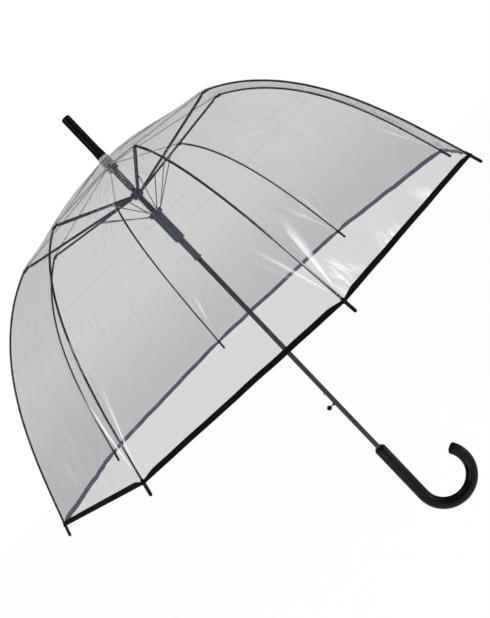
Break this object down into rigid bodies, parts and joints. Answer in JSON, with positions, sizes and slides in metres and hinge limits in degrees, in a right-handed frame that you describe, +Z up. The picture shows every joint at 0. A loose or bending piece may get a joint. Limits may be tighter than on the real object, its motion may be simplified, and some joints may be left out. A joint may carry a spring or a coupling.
{
  "type": "umbrella",
  "caption": "Clear dome umbrella with folding ribs on a sliding runner, a film canopy bound in black, and a hook handle.",
  "frame": {"origin": "centre of the straight grip, on the shaft's axis", "axes": "+Z runs up the shaft to the ferrule, and the hook turns towards +X"},
  "size_m": [0.833, 0.833, 0.8601],
  "materials": {
    "shaft_steel": "gloss black paint",
    "handle_plastic": "glossy black",
    "ferrule_plastic": "glossy black",
    "washer_plastic": "clear",
    "notch_steel": "zinc plated",
    "collar_plastic": "satin black",
    "spring_steel": "bright",
    "runner_plastic": "satin black",
    "button_plastic": "glossy black",
    "catch_steel": "bright",
    "film": "clear film with a black bound rim",
    "rib_steel": "black paint",
    "rib_rod": "black paint, plastic tip",
    "arm_steel": "blue-black paint",
    "wire_steel": "dark grey"
  },
  "bodies": {
    "shaft": {"shaft": "shaft_steel", "handle": "handle_plastic", "ferrule": "ferrule_plastic", "crown_washer": "washer_plastic", "top_notch": "notch_steel", "film_top": "film"},
    "collar": {"collar": "collar_plastic", "main_spring": "spring_steel"},
    "runner": {"runner": "runner_plastic", "runner_sleeve": "runner_plastic"},
    "release_button": {"release_button": "button_plastic"},
    "latch_catch": {"latch_catch": "catch_steel"},
    "rib_upper_1": {"rib_upper_1": "rib_steel"},
    "rib_lower_1": {"rib_lower_1": "rib_rod"},
    "arm_1": {"arm_1": "arm_steel"},
    "push_wire_1": {"push_wire_1": "wire_steel"},
    "film_mid_1": {"film_mid_1": "film"},
    "film_low_1": {"film_low_1": "film"},
    "rib_upper_2": {"rib_upper_2": "rib_steel"},
    "rib_lower_2": {"rib_lower_2": "rib_rod"},
    "arm_2": {"arm_2": "arm_steel"},
    "push_wire_2": {"push_wire_2": "wire_steel"},
    "film_mid_2": {"film_mid_2": "film"},
    "film_low_2": {"film_low_2": "film"},
    "rib_upper_3": {"rib_upper_3": "rib_steel"},
    "rib_lower_3": {"rib_lower_3": "rib_rod"},
    "arm_3": {"arm_3": "arm_steel"},
    "push_wire_3": {"push_wire_3": "wire_steel"},
    "film_mid_3": {"film_mid_3": "film"},
    "film_low_3": {"film_low_3": "film"},
    "rib_upper_4": {"rib_upper_4": "rib_steel"},
    "rib_lower_4": {"rib_lower_4": "rib_rod"},
    "arm_4": {"arm_4": "arm_steel"},
    "push_wire_4": {"push_wire_4": "wire_steel"},
    "film_mid_4": {"film_mid_4": "film"},
    "film_low_4": {"film_low_4": "film"},
    "rib_upper_5": {"rib_upper_5": "rib_steel"},
    "rib_lower_5": {"rib_lower_5": "rib_rod"},
    "arm_5": {"arm_5": "arm_steel"},
    "push_wire_5": {"push_wire_5": "wire_steel"},
    "film_mid_5": {"film_mid_5": "film"},
    "film_low_5": {"film_low_5": "film"},
    "rib_upper_6": {"rib_upper_6": "rib_steel"},
    "rib_lower_6": {"rib_lower_6": "rib_rod"},
    "arm_6": {"arm_6": "arm_steel"},
    "push_wire_6": {"push_wire_6": "wire_steel"},
    "film_mid_6": {"film_mid_6": "film"},
    "film_low_6": {"film_low_6": "film"},
    "rib_upper_7": {"rib_upper_7": "rib_steel"},
    "rib_lower_7": {"rib_lower_7": "rib_rod"},
    "arm_7": {"arm_7": "arm_steel"},
    "push_wire_7": {"push_wire_7": "wire_steel"},
    "film_mid_7": {"film_mid_7": "film"},
    "film_low_7": {"film_low_7": "film"},
    "rib_upper_8": {"rib_upper_8": "rib_steel"},
    "rib_lower_8": {"rib_lower_8": "rib_rod"},
    "arm_8": {"arm_8": "arm_steel"},
    "push_wire_8": {"push_wire_8": "wire_steel"},
    "film_mid_8": {"film_mid_8": "film"},
    "film_low_8": {"film_low_8": "film"}
  },
  "joints": [
    {"name": "canopy_fold", "type": "hinge", "parent": "shaft", "child": "rib_upper_1", "pos_m": [0.00783, 0.00162, 0.653], "axis": [-0.2028, 0.9792, 0], "range_deg": [0, 81.32], "stiffness_Nm_per_rad": 2, "springref_deg": -57.3, "deforming": ["film_top", "main_spring", "latch_catch", "film_mid_1", "film_mid_2", "film_mid_3", "film_mid_4", "film_mid_5", "film_mid_6", "film_mid_7", "film_mid_8", "film_low_1", "film_low_2", "film_low_3", "film_low_4", "film_low_5", "film_low_6", "film_low_7", "film_low_8"]},
    {"name": "rib_upper_2_hinge", "type": "hinge", "parent": "shaft", "child": "rib_upper_2", "pos_m": [0.00439, 0.00669, 0.653], "axis": [-0.8358, 0.549, 0], "range_deg": [0, 81.32]},
    {"name": "rib_upper_3_hinge", "type": "hinge", "parent": "shaft", "child": "rib_upper_3", "pos_m": [-0.00162, 0.00783, 0.653], "axis": [-0.9792, -0.2028, 0], "range_deg": [0, 81.32]},
    {"name": "rib_upper_4_hinge", "type": "hinge", "parent": "shaft", "child": "rib_upper_4", "pos_m": [-0.00669, 0.00439, 0.653], "axis": [-0.549, -0.8358, 0], "range_deg": [0, 81.32]},
    {"name": "rib_upper_5_hinge", "type": "hinge", "parent": "shaft", "child": "rib_upper_5", "pos_m": [-0.00783, -0.00162, 0.653], "axis": [0.2028, -0.9792, 0], "range_deg": [0, 81.32]},
    {"name": "rib_upper_6_hinge", "type": "hinge", "parent": "shaft", "child": "rib_upper_6", "pos_m": [-0.00439, -0.00669, 0.653], "axis": [0.8358, -0.549, 0], "range_deg": [0, 81.32]},
    {"name": "rib_upper_7_hinge", "type": "hinge", "parent": "shaft", "child": "rib_upper_7", "pos_m": [0.00162, -0.00783, 0.653], "axis": [0.9792, 0.2028, 0], "range_deg": [0, 81.32]},
    {"name": "rib_upper_8_hinge", "type": "hinge", "parent": "shaft", "child": "rib_upper_8", "pos_m": [0.00669, -0.00439, 0.653], "axis": [0.549, 0.8358, 0], "range_deg": [0, 81.32]},
    {"name": "shoulder_arm_1", "type": "hinge", "parent": "rib_upper_1", "child": "arm_1", "pos_m": [0.19389, 0.04015, 0.624], "axis": [-0.2028, 0.9792, 0], "range_deg": [-162.64, 0]},
    {"name": "shoulder_rib_1", "type": "hinge", "parent": "rib_upper_1", "child": "rib_lower_1", "pos_m": [0.19389, 0.04015, 0.624], "axis": [-0.2028, 0.9792, 0], "range_deg": [-48.12, 0]},
    {"name": "push_wire_1_hinge", "type": "hinge", "parent": "arm_1", "child": "push_wire_1", "pos_m": [0.07868, 0.01629, 0.60483], "axis": [-0.2028, 0.9792, 0], "range_deg": [0, 26.16]},
    {"name": "film_mid_1_fold", "type": "hinge", "parent": "shaft", "child": "film_mid_1", "pos_m": [-0.07918, -0.05381, 0.74554], "axis": [-0.5621, 0.8271, 0], "range_deg": [0, 46.6]},
    {"name": "film_low_1_fold", "type": "hinge", "parent": "film_mid_1", "child": "film_low_1", "pos_m": [0.24502, 0.16652, 0.5276], "axis": [-0.5621, 0.8271, 0], "range_deg": [-25.02, 0]},
    {"name": "shoulder_arm_2", "type": "hinge", "parent": "rib_upper_2", "child": "arm_2", "pos_m": [0.10871, 0.16549, 0.624], "axis": [-0.8358, 0.549, 0], "range_deg": [-162.64, 0]},
    {"name": "shoulder_rib_2", "type": "hinge", "parent": "rib_upper_2", "child": "rib_lower_2", "pos_m": [0.10871, 0.16549, 0.624], "axis": [-0.8358, 0.549, 0], "range_deg": [-48.12, 0]},
    {"name": "push_wire_2_hinge", "type": "hinge", "parent": "arm_2", "child": "push_wire_2", "pos_m": [0.04411, 0.06715, 0.60483], "axis": [-0.8358, 0.549, 0], "range_deg": [0, 26.16]},
    {"name": "film_mid_2_fold", "type": "hinge", "parent": "shaft", "child": "film_mid_2", "pos_m": [-0.01794, -0.09404, 0.74554], "axis": [-0.9823, 0.1874, 0], "range_deg": [0, 46.6]},
    {"name": "film_low_2_fold", "type": "hinge", "parent": "film_mid_2", "child": "film_low_2", "pos_m": [0.05551, 0.291, 0.5276], "axis": [-0.9823, 0.1874, 0], "range_deg": [-25.02, 0]},
    {"name": "shoulder_arm_3", "type": "hinge", "parent": "rib_upper_3", "child": "arm_3", "pos_m": [-0.04015, 0.19389, 0.624], "axis": [-0.9792, -0.2028, 0], "range_deg": [-162.64, 0]},
    {"name": "shoulder_rib_3", "type": "hinge", "parent": "rib_upper_3", "child": "rib_lower_3", "pos_m": [-0.04015, 0.19389, 0.624], "axis": [-0.9792, -0.2028, 0], "range_deg": [-48.12, 0]},
    {"name": "push_wire_3_hinge", "type": "hinge", "parent": "arm_3", "child": "push_wire_3", "pos_m": [-0.01629, 0.07868, 0.60483], "axis": [-0.9792, -0.2028, 0], "range_deg": [0, 26.16]},
    {"name": "film_mid_3_fold", "type": "hinge", "parent": "shaft", "child": "film_mid_3", "pos_m": [0.05381, -0.07918, 0.74554], "axis": [-0.8271, -0.5621, 0], "range_deg": [0, 46.6]},
    {"name": "film_low_3_fold", "type": "hinge", "parent": "film_mid_3", "child": "film_low_3", "pos_m": [-0.16652, 0.24502, 0.5276], "axis": [-0.8271, -0.5621, 0], "range_deg": [-25.02, 0]},
    {"name": "shoulder_arm_4", "type": "hinge", "parent": "rib_upper_4", "child": "arm_4", "pos_m": [-0.16549, 0.10871, 0.624], "axis": [-0.549, -0.8358, 0], "range_deg": [-162.64, 0]},
    {"name": "shoulder_rib_4", "type": "hinge", "parent": "rib_upper_4", "child": "rib_lower_4", "pos_m": [-0.16549, 0.10871, 0.624], "axis": [-0.549, -0.8358, 0], "range_deg": [-48.12, 0]},
    {"name": "push_wire_4_hinge", "type": "hinge", "parent": "arm_4", "child": "push_wire_4", "pos_m": [-0.06715, 0.04411, 0.60483], "axis": [-0.549, -0.8358, 0], "range_deg": [0, 26.16]},
    {"name": "film_mid_4_fold", "type": "hinge", "parent": "shaft", "child": "film_mid_4", "pos_m": [0.09404, -0.01794, 0.74554], "axis": [-0.1874, -0.9823, 0], "range_deg": [0, 46.6]},
    {"name": "film_low_4_fold", "type": "hinge", "parent": "film_mid_4", "child": "film_low_4", "pos_m": [-0.291, 0.05551, 0.5276], "axis": [-0.1874, -0.9823, 0], "range_deg": [-25.02, 0]},
    {"name": "shoulder_arm_5", "type": "hinge", "parent": "rib_upper_5", "child": "arm_5", "pos_m": [-0.19389, -0.04015, 0.624], "axis": [0.2028, -0.9792, 0], "range_deg": [-162.64, 0]},
    {"name": "shoulder_rib_5", "type": "hinge", "parent": "rib_upper_5", "child": "rib_lower_5", "pos_m": [-0.19389, -0.04015, 0.624], "axis": [0.2028, -0.9792, 0], "range_deg": [-48.12, 0]},
    {"name": "push_wire_5_hinge", "type": "hinge", "parent": "arm_5", "child": "push_wire_5", "pos_m": [-0.07868, -0.01629, 0.60483], "axis": [0.2028, -0.9792, 0], "range_deg": [0, 26.16]},
    {"name": "film_mid_5_fold", "type": "hinge", "parent": "shaft", "child": "film_mid_5", "pos_m": [0.07918, 0.05381, 0.74554], "axis": [0.5621, -0.8271, 0], "range_deg": [0, 46.6]},
    {"name": "film_low_5_fold", "type": "hinge", "parent": "film_mid_5", "child": "film_low_5", "pos_m": [-0.24502, -0.16652, 0.5276], "axis": [0.5621, -0.8271, 0], "range_deg": [-25.02, 0]},
    {"name": "shoulder_arm_6", "type": "hinge", "parent": "rib_upper_6", "child": "arm_6", "pos_m": [-0.10871, -0.16549, 0.624], "axis": [0.8358, -0.549, 0], "range_deg": [-162.64, 0]},
    {"name": "shoulder_rib_6", "type": "hinge", "parent": "rib_upper_6", "child": "rib_lower_6", "pos_m": [-0.10871, -0.16549, 0.624], "axis": [0.8358, -0.549, 0], "range_deg": [-48.12, 0]},
    {"name": "push_wire_6_hinge", "type": "hinge", "parent": "arm_6", "child": "push_wire_6", "pos_m": [-0.04411, -0.06715, 0.60483], "axis": [0.8358, -0.549, 0], "range_deg": [0, 26.16]},
    {"name": "film_mid_6_fold", "type": "hinge", "parent": "shaft", "child": "film_mid_6", "pos_m": [0.01794, 0.09404, 0.74554], "axis": [0.9823, -0.1874, 0], "range_deg": [0, 46.6]},
    {"name": "film_low_6_fold", "type": "hinge", "parent": "film_mid_6", "child": "film_low_6", "pos_m": [-0.05551, -0.291, 0.5276], "axis": [0.9823, -0.1874, 0], "range_deg": [-25.02, 0]},
    {"name": "shoulder_arm_7", "type": "hinge", "parent": "rib_upper_7", "child": "arm_7", "pos_m": [0.04015, -0.19389, 0.624], "axis": [0.9792, 0.2028, 0], "range_deg": [-162.64, 0]},
    {"name": "shoulder_rib_7", "type": "hinge", "parent": "rib_upper_7", "child": "rib_lower_7", "pos_m": [0.04015, -0.19389, 0.624], "axis": [0.9792, 0.2028, 0], "range_deg": [-48.12, 0]},
    {"name": "push_wire_7_hinge", "type": "hinge", "parent": "arm_7", "child": "push_wire_7", "pos_m": [0.01629, -0.07868, 0.60483], "axis": [0.9792, 0.2028, 0], "range_deg": [0, 26.16]},
    {"name": "film_mid_7_fold", "type": "hinge", "parent": "shaft", "child": "film_mid_7", "pos_m": [-0.05381, 0.07918, 0.74554], "axis": [0.8271, 0.5621, 0], "range_deg": [0, 46.6]},
    {"name": "film_low_7_fold", "type": "hinge", "parent": "film_mid_7", "child": "film_low_7", "pos_m": [0.16652, -0.24502, 0.5276], "axis": [0.8271, 0.5621, 0], "range_deg": [-25.02, 0]},
    {"name": "shoulder_arm_8", "type": "hinge", "parent": "rib_upper_8", "child": "arm_8", "pos_m": [0.16549, -0.10871, 0.624], "axis": [0.549, 0.8358, 0], "range_deg": [-162.64, 0]},
    {"name": "shoulder_rib_8", "type": "hinge", "parent": "rib_upper_8", "child": "rib_lower_8", "pos_m": [0.16549, -0.10871, 0.624], "axis": [0.549, 0.8358, 0], "range_deg": [-48.12, 0]},
    {"name": "push_wire_8_hinge", "type": "hinge", "parent": "arm_8", "child": "push_wire_8", "pos_m": [0.06715, -0.04411, 0.60483], "axis": [0.549, 0.8358, 0], "range_deg": [0, 26.16]},
    {"name": "film_mid_8_fold", "type": "hinge", "parent": "shaft", "child": "film_mid_8", "pos_m": [-0.09404, 0.01794, 0.74554], "axis": [0.1874, 0.9823, 0], "range_deg": [0, 46.6]},
    {"name": "film_low_8_fold", "type": "hinge", "parent": "film_mid_8", "child": "film_low_8", "pos_m": [0.291, -0.05551, 0.5276], "axis": [0.1874, 0.9823, 0], "range_deg": [-25.02, 0]},
    {"name": "collar_pivot", "type": "hinge", "parent": "arm_1", "child": "collar", "pos_m": [0.00783, 0.00162, 0.595], "axis": [-0.2028, 0.9792, 0], "range_deg": [0, 81.32]},
    {"name": "runner_slide", "type": "slide", "parent": "collar", "child": "runner", "axis": [0, 0, 1], "range_m": [0, 0.02663]},
    {"name": "button_press", "type": "slide", "parent": "shaft", "child": "release_button", "axis": [1, 0, 0], "range_m": [0, 0.0033], "stiffness_N_per_m": 900},
    {"name": "catch_tilt", "type": "hinge", "parent": "shaft", "child": "latch_catch", "pos_m": [-0.00275, 0, 0.196], "axis": [0, -1, 0], "range_deg": [0, 4.19]}
  ],
  "couplings": [
    {"joint": "rib_upper_2_hinge", "follows": "canopy_fold", "ratio": 1},
    {"joint": "rib_upper_3_hinge", "follows": "canopy_fold", "ratio": 1},
    {"joint": "rib_upper_4_hinge", "follows": "canopy_fold", "ratio": 1},
    {"joint": "rib_upper_5_hinge", "follows": "canopy_fold", "ratio": 1},
    {"joint": "rib_upper_6_hinge", "follows": "canopy_fold", "ratio": 1},
    {"joint": "rib_upper_7_hinge", "follows": "canopy_fold", "ratio": 1},
    {"joint": "rib_upper_8_hinge", "follows": "canopy_fold", "ratio": 1},
    {"joint": "shoulder_arm_1", "follows": "canopy_fold", "ratio": -2},
    {"joint": "shoulder_rib_1", "follows": "canopy_fold", "ratio": -0.59173},
    {"joint": "push_wire_1_hinge", "follows": "canopy_fold", "ratio": 0.32167},
    {"joint": "film_mid_1_fold", "follows": "canopy_fold", "ratio": 0.57299},
    {"joint": "film_low_1_fold", "follows": "canopy_fold", "ratio": -0.30762},
    {"joint": "shoulder_arm_2", "follows": "canopy_fold", "ratio": -2},
    {"joint": "shoulder_rib_2", "follows": "canopy_fold", "ratio": -0.59173},
    {"joint": "push_wire_2_hinge", "follows": "canopy_fold", "ratio": 0.32167},
    {"joint": "film_mid_2_fold", "follows": "canopy_fold", "ratio": 0.57299},
    {"joint": "film_low_2_fold", "follows": "canopy_fold", "ratio": -0.30762},
    {"joint": "shoulder_arm_3", "follows": "canopy_fold", "ratio": -2},
    {"joint": "shoulder_rib_3", "follows": "canopy_fold", "ratio": -0.59173},
    {"joint": "push_wire_3_hinge", "follows": "canopy_fold", "ratio": 0.32167},
    {"joint": "film_mid_3_fold", "follows": "canopy_fold", "ratio": 0.57299},
    {"joint": "film_low_3_fold", "follows": "canopy_fold", "ratio": -0.30762},
    {"joint": "shoulder_arm_4", "follows": "canopy_fold", "ratio": -2},
    {"joint": "shoulder_rib_4", "follows": "canopy_fold", "ratio": -0.59173},
    {"joint": "push_wire_4_hinge", "follows": "canopy_fold", "ratio": 0.32167},
    {"joint": "film_mid_4_fold", "follows": "canopy_fold", "ratio": 0.57299},
    {"joint": "film_low_4_fold", "follows": "canopy_fold", "ratio": -0.30762},
    {"joint": "shoulder_arm_5", "follows": "canopy_fold", "ratio": -2},
    {"joint": "shoulder_rib_5", "follows": "canopy_fold", "ratio": -0.59173},
    {"joint": "push_wire_5_hinge", "follows": "canopy_fold", "ratio": 0.32167},
    {"joint": "film_mid_5_fold", "follows": "canopy_fold", "ratio": 0.57299},
    {"joint": "film_low_5_fold", "follows": "canopy_fold", "ratio": -0.30762},
    {"joint": "shoulder_arm_6", "follows": "canopy_fold", "ratio": -2},
    {"joint": "shoulder_rib_6", "follows": "canopy_fold", "ratio": -0.59173},
    {"joint": "push_wire_6_hinge", "follows": "canopy_fold", "ratio": 0.32167},
    {"joint": "film_mid_6_fold", "follows": "canopy_fold", "ratio": 0.57299},
    {"joint": "film_low_6_fold", "follows": "canopy_fold", "ratio": -0.30762},
    {"joint": "shoulder_arm_7", "follows": "canopy_fold", "ratio": -2},
    {"joint": "shoulder_rib_7", "follows": "canopy_fold", "ratio": -0.59173},
    {"joint": "push_wire_7_hinge", "follows": "canopy_fold", "ratio": 0.32167},
    {"joint": "film_mid_7_fold", "follows": "canopy_fold", "ratio": 0.57299},
    {"joint": "film_low_7_fold", "follows": "canopy_fold", "ratio": -0.30762},
    {"joint": "shoulder_arm_8", "follows": "canopy_fold", "ratio": -2},
    {"joint": "shoulder_rib_8", "follows": "canopy_fold", "ratio": -0.59173},
    {"joint": "push_wire_8_hinge", "follows": "canopy_fold", "ratio": 0.32167},
    {"joint": "film_mid_8_fold", "follows": "canopy_fold", "ratio": 0.57299},
    {"joint": "film_low_8_fold", "follows": "canopy_fold", "ratio": -0.30762},
    {"joint": "collar_pivot", "follows": "canopy_fold", "ratio": 1},
    {"joint": "runner_slide", "follows": "canopy_fold", "m_per_rad": 0.018765},
    {"joint": "catch_tilt", "follows": "button_press", "rad_per_m": 22.183}
  ]
}
